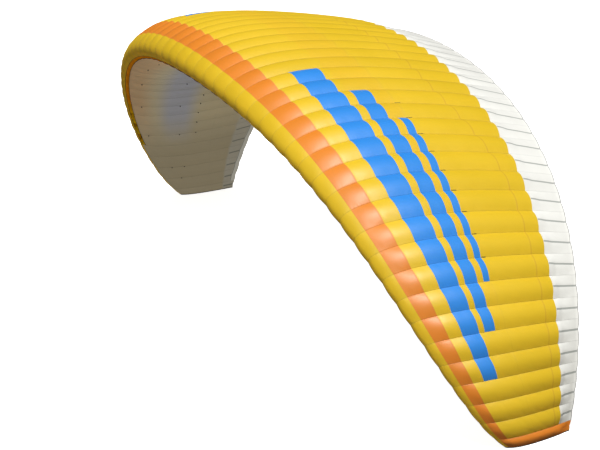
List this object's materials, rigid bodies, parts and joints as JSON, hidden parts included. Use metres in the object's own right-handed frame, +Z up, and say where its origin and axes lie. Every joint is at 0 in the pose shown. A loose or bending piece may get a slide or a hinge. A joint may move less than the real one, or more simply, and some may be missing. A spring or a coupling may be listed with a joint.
{
  "type": "paraglider wing",
  "caption": "Arched ram-air paraglider wing of ribbed cells with a yellow, orange, blue and white upper sail and a pale lower sail, standing on its two tips.",
  "frame": {"origin": "centre of the bounding box at the level of the two flat tip ends that the wing stands on", "axes": "+X to the wing's right tip along its span, -Y the way it flies with the nose leading, +Z up through the crown of the arch"},
  "size_m": [9.3322, 2.7514, 3.0154],
  "materials": {
    "yellow_cloth": "coated ripstop nylon, satin",
    "orange_cloth": "coated ripstop nylon, satin",
    "white_cloth": "coated ripstop nylon, satin",
    "lower_cloth": "coated ripstop nylon, satin",
    "rib_cloth": "stiff coated nylon, matt"
  },
  "bodies": {
    "root": {"upper_nose_strip": "yellow_cloth", "upper_front_band": "orange_cloth", "upper_main_sail": "yellow_cloth", "upper_trailing_strip": "white_cloth", "lower_sail": "lower_cloth", "tip_panel_right": "orange_cloth", "tip_panel_left": "orange_cloth", "rib_01": "rib_cloth", "rib_02": "rib_cloth", "rib_03": "rib_cloth", "rib_04": "rib_cloth", "rib_05": "rib_cloth", "rib_06": "rib_cloth", "rib_07": "rib_cloth", "rib_08": "rib_cloth", "rib_09": "rib_cloth", "rib_10": "rib_cloth", "rib_11": "rib_cloth", "rib_12": "rib_cloth", "rib_13": "rib_cloth", "rib_14": "rib_cloth", "rib_15": "rib_cloth", "rib_16": "rib_cloth", "rib_17": "rib_cloth", "rib_18": "rib_cloth", "rib_19": "rib_cloth", "rib_20": "rib_cloth", "rib_21": "rib_cloth", "rib_22": "rib_cloth", "rib_23": "rib_cloth", "rib_24": "rib_cloth", "rib_25": "rib_cloth", "rib_26": "rib_cloth", "rib_27": "rib_cloth", "rib_28": "rib_cloth", "rib_29": "rib_cloth", "rib_30": "rib_cloth", "rib_31": "rib_cloth", "rib_32": "rib_cloth", "rib_33": "rib_cloth", "rib_34": "rib_cloth", "rib_35": "rib_cloth", "rib_36": "rib_cloth", "rib_37": "rib_cloth", "rib_38": "rib_cloth", "rib_39": "rib_cloth", "rib_40": "rib_cloth", "rib_41": "rib_cloth", "rib_42": "rib_cloth", "rib_43": "rib_cloth", "rib_44": "rib_cloth", "rib_45": "rib_cloth", "rib_46": "rib_cloth", "rib_47": "rib_cloth", "rib_48": "rib_cloth", "rib_49": "rib_cloth", "rib_50": "rib_cloth", "rib_51": "rib_cloth", "rib_52": "rib_cloth"}
  },
  "joints": []
}
